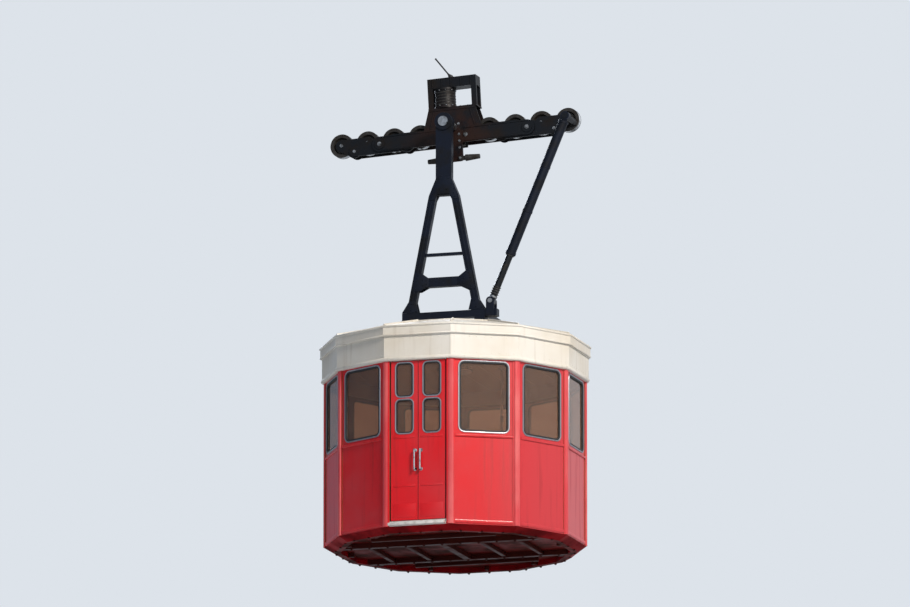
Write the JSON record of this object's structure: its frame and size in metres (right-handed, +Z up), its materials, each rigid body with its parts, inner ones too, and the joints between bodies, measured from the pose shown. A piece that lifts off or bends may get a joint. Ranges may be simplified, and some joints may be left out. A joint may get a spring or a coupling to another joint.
{
  "type": "aerial cable car cabin with hanger and carriage",
  "caption": "Polygonal cable car cabin with inward double door, hung by an A-frame from a wheeled carriage that runs on a track rope.",
  "frame": {"origin": "on the track rope's axis, straight below the hanger axle", "axes": "+X is the way of travel that climbs, level; +Y points away from the door side; +Z is up"},
  "size_m": [3.0452, 3.08, 5.8842],
  "materials": {
    "carriage_paint": "semi-gloss",
    "hanger_paint": "semi-gloss",
    "dark_rod": "satin",
    "wheel_steel": "worn",
    "bright_steel": "satin",
    "cast_steel": "rough",
    "mast_black": "matt",
    "roof_cream": "gloss",
    "cabin_red": "gloss",
    "window_rubber": "matt",
    "glass": "clear",
    "lining_cream": "semi-gloss",
    "underside_brown": "matt",
    "sill_aluminium": "brushed",
    "rail_chrome": "polished",
    "lamp_white": "matt"
  },
  "bodies": {
    "carriage": {"main_beam": "carriage_paint", "bogie_beam_downhill": "carriage_paint", "bogie_beam_uphill": "carriage_paint", "rocker_1": "carriage_paint", "rocker_2": "carriage_paint", "rocker_3": "carriage_paint", "rocker_4": "carriage_paint", "wheel_axles": "bright_steel", "pivot_pins": "bright_steel", "hanger_axle": "bright_steel", "brake_body": "carriage_paint", "brake_jaws": "cast_steel", "tower_frame": "carriage_paint", "brake_spring_housing": "carriage_paint", "radio_mast": "mast_black", "haul_bracket": "carriage_paint", "haul_socket_downhill": "cast_steel", "haul_socket_uphill": "cast_steel", "haul_pins": "bright_steel", "damper_bracket": "carriage_paint"},
    "track_wheel_1": {"track_wheel_1": "wheel_steel"},
    "track_wheel_2": {"track_wheel_2": "wheel_steel"},
    "track_wheel_3": {"track_wheel_3": "wheel_steel"},
    "track_wheel_4": {"track_wheel_4": "wheel_steel"},
    "track_wheel_5": {"track_wheel_5": "wheel_steel"},
    "track_wheel_6": {"track_wheel_6": "wheel_steel"},
    "track_wheel_7": {"track_wheel_7": "wheel_steel"},
    "track_wheel_8": {"track_wheel_8": "wheel_steel"},
    "cabin": {"hanger_head": "hanger_paint", "hanger_leg_downhill": "hanger_paint", "hanger_leg_uphill": "hanger_paint", "hanger_cross_bars": "hanger_paint", "base_beams": "hanger_paint", "base_cross_beams": "hanger_paint", "damper_ears": "hanger_paint", "roof_fascia": "roof_cream", "roof_dome": "roof_cream", "ceiling_panel": "lining_cream", "ceiling_light": "lamp_white", "corner_posts": "cabin_red", "wall_panels": "cabin_red", "window_frames": "window_rubber", "window_panes": "glass", "floor": "underside_brown", "underframe": "underside_brown", "door_sill": "sill_aluminium", "door_step": "sill_aluminium", "hand_rails": "rail_chrome", "rail_brackets": "rail_chrome", "grab_poles": "rail_chrome"},
    "door_leaf_left": {"door_leaf_left": "cabin_red", "door_pane_left": "glass", "door_handle_left": "rail_chrome"},
    "door_leaf_right": {"door_leaf_right": "cabin_red", "door_pane_right": "glass", "door_handle_right": "rail_chrome"},
    "damper_barrel": {"damper_barrel": "carriage_paint"},
    "damper_rod": {"damper_rod": "dark_rod"}
  },
  "joints": [
    {"name": "track_wheel_1_spin", "type": "hinge", "parent": "carriage", "child": "track_wheel_1", "pos_m": [-1.37549, 0, 0.06811], "axis": [0, 1, 0], "continuous": true},
    {"name": "track_wheel_2_spin", "type": "hinge", "parent": "carriage", "child": "track_wheel_2", "pos_m": [-1.05593, 0, 0.08485], "axis": [0, 1, 0], "continuous": true},
    {"name": "track_wheel_3_spin", "type": "hinge", "parent": "carriage", "child": "track_wheel_3", "pos_m": [-0.73637, 0, 0.1016], "axis": [0, 1, 0], "continuous": true},
    {"name": "track_wheel_4_spin", "type": "hinge", "parent": "carriage", "child": "track_wheel_4", "pos_m": [-0.41681, 0, 0.11835], "axis": [0, 1, 0], "continuous": true},
    {"name": "track_wheel_5_spin", "type": "hinge", "parent": "carriage", "child": "track_wheel_5", "pos_m": [0.42204, 0, 0.16231], "axis": [0, 1, 0], "continuous": true},
    {"name": "track_wheel_6_spin", "type": "hinge", "parent": "carriage", "child": "track_wheel_6", "pos_m": [0.7416, 0, 0.17906], "axis": [0, 1, 0], "continuous": true},
    {"name": "track_wheel_7_spin", "type": "hinge", "parent": "carriage", "child": "track_wheel_7", "pos_m": [1.06116, 0, 0.19581], "axis": [0, 1, 0], "continuous": true},
    {"name": "track_wheel_8_spin", "type": "hinge", "parent": "carriage", "child": "track_wheel_8", "pos_m": [1.38073, 0, 0.21255], "axis": [0, 1, 0], "continuous": true},
    {"name": "cabin_swing", "type": "hinge", "parent": "carriage", "child": "cabin", "pos_m": [0, -0.43, 0.19026], "axis": [0, -1, 0], "range_deg": [-15, 15]},
    {"name": "door_leaf_left_swing", "type": "hinge", "parent": "cabin", "child": "door_leaf_left", "pos_m": [-0.31255, -1.445, -3.75], "axis": [0, 0, 1], "range_deg": [0, 90]},
    {"name": "door_leaf_right_swing", "type": "hinge", "parent": "cabin", "child": "door_leaf_right", "pos_m": [0.31255, -1.445, -3.75], "axis": [0, 0, -1], "range_deg": [0, 90]},
    {"name": "damper_barrel_swing", "type": "hinge", "parent": "carriage", "child": "damper_barrel", "pos_m": [1.47322, -0.43, 0.16733], "axis": [0, -1, 0], "range_deg": [-11.5, 11.5]},
    {"name": "damper_rod_slide", "type": "slide", "parent": "damper_barrel", "child": "damper_rod", "axis": [-0.3885, 0, -0.9215], "range_m": [-0.36, 0.36]}
  ],
  "couplings": [
    {"joint": "damper_barrel_swing", "follows": "cabin_swing", "ratio": 0.762},
    {"joint": "damper_rod_slide", "follows": "cabin_swing", "m_per_rad": -1.367}
  ]
}
